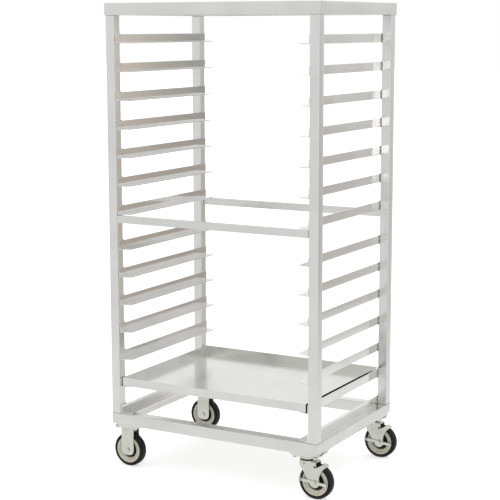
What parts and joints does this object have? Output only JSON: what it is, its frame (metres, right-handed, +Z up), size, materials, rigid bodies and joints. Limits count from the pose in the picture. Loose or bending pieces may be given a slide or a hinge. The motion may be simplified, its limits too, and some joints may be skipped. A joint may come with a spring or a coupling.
{
  "type": "sheet pan rack",
  "caption": "Open welded aluminium tube rack with facing L-shaped pan runners, a loose bottom tray, rigid casters at one side and braked swivel casters at the other.",
  "frame": {"origin": "on the floor, under the middle of the overall box", "axes": "+Z up; +Y from the front towards the back, the short way; +X towards the swivel casters"},
  "size_m": [0.7828, 0.544, 1.4779],
  "materials": {
    "frame_aluminium": "satin mill finish with welded joints",
    "tray_aluminium": "bright rolled sheet",
    "caster_zinc": "zinc plated pressed steel",
    "fastener_steel": "zinc plated bolts and nuts",
    "tyre_rubber": "dull black tread",
    "hub_plastic": "tan moulded wheel centre"
  },
  "bodies": {
    "frame": {"post_front_left": "frame_aluminium", "post_front_right": "frame_aluminium", "post_back_left": "frame_aluminium", "post_back_right": "frame_aluminium", "top_rail_front": "frame_aluminium", "top_rail_back": "frame_aluminium", "top_rail_left": "frame_aluminium", "top_rail_right": "frame_aluminium", "base_rail_front": "frame_aluminium", "base_rail_back": "frame_aluminium", "base_rail_left": "frame_aluminium", "base_rail_right": "frame_aluminium", "brace_front": "frame_aluminium", "brace_back": "frame_aluminium", "runner_left_01": "frame_aluminium", "runner_right_01": "frame_aluminium", "runner_left_02": "frame_aluminium", "runner_right_02": "frame_aluminium", "runner_left_03": "frame_aluminium", "runner_right_03": "frame_aluminium", "runner_left_04": "frame_aluminium", "runner_right_04": "frame_aluminium", "runner_left_05": "frame_aluminium", "runner_right_05": "frame_aluminium", "runner_left_06": "frame_aluminium", "runner_right_06": "frame_aluminium", "runner_left_07": "frame_aluminium", "runner_right_07": "frame_aluminium", "runner_left_08": "frame_aluminium", "runner_right_08": "frame_aluminium", "runner_left_09": "frame_aluminium", "runner_right_09": "frame_aluminium", "runner_left_10": "frame_aluminium", "runner_right_10": "frame_aluminium", "runner_left_11": "frame_aluminium", "runner_right_11": "frame_aluminium", "runner_left_12": "frame_aluminium", "runner_right_12": "frame_aluminium", "runner_left_13": "frame_aluminium", "runner_right_13": "frame_aluminium", "runner_left_14": "frame_aluminium", "runner_right_14": "frame_aluminium", "rigid_fork_front": "caster_zinc", "rigid_axle_front": "fastener_steel", "swivel_head_front": "caster_zinc", "rigid_fork_back": "caster_zinc", "rigid_axle_back": "fastener_steel", "swivel_head_back": "caster_zinc"},
    "tray": {"shelf_tray": "tray_aluminium"},
    "rigid_wheel_front": {"rigid_wheel_front": "tyre_rubber"},
    "swivel_front": {"swivel_yoke_front": "caster_zinc", "swivel_axle_front": "fastener_steel"},
    "swivel_wheel_front": {"swivel_wheel_front": "tyre_rubber"},
    "brake_front": {"brake_lever_front": "caster_zinc"},
    "rigid_wheel_back": {"rigid_wheel_back": "tyre_rubber"},
    "swivel_back": {"swivel_yoke_back": "caster_zinc", "swivel_axle_back": "fastener_steel"},
    "swivel_wheel_back": {"swivel_wheel_back": "tyre_rubber"},
    "brake_back": {"brake_lever_back": "caster_zinc"}
  },
  "joints": [
    {"name": "tray_slide", "type": "slide", "parent": "frame", "child": "tray", "axis": [0, -1, 0], "range_m": [0, 0.45]},
    {"name": "rigid_wheel_front_spin", "type": "hinge", "parent": "frame", "child": "rigid_wheel_front", "pos_m": [-0.33735, -0.23605, 0.0541], "axis": [0, 1, 0], "continuous": true},
    {"name": "swivel_front_turn", "type": "hinge", "parent": "frame", "child": "swivel_front", "pos_m": [0.30715, -0.23605, 0.1192], "axis": [0, 0, 1], "continuous": true},
    {"name": "swivel_wheel_front_spin", "type": "hinge", "parent": "swivel_front", "child": "swivel_wheel_front", "pos_m": [0.33735, -0.23605, 0.0541], "axis": [0, 1, 0], "continuous": true},
    {"name": "brake_lever_front_rock", "type": "hinge", "parent": "swivel_front", "child": "brake_front", "pos_m": [0.33735, -0.23605, 0.0541], "axis": [0, -1, 0], "range_deg": [0, 18]},
    {"name": "rigid_wheel_back_spin", "type": "hinge", "parent": "frame", "child": "rigid_wheel_back", "pos_m": [-0.33735, 0.23605, 0.0541], "axis": [0, 1, 0], "continuous": true},
    {"name": "swivel_back_turn", "type": "hinge", "parent": "frame", "child": "swivel_back", "pos_m": [0.30715, 0.23605, 0.1192], "axis": [0, 0, 1], "continuous": true},
    {"name": "swivel_wheel_back_spin", "type": "hinge", "parent": "swivel_back", "child": "swivel_wheel_back", "pos_m": [0.33735, 0.23605, 0.0541], "axis": [0, 1, 0], "continuous": true},
    {"name": "brake_lever_back_rock", "type": "hinge", "parent": "swivel_back", "child": "brake_back", "pos_m": [0.33735, 0.23605, 0.0541], "axis": [0, -1, 0], "range_deg": [0, 18]}
  ]
}
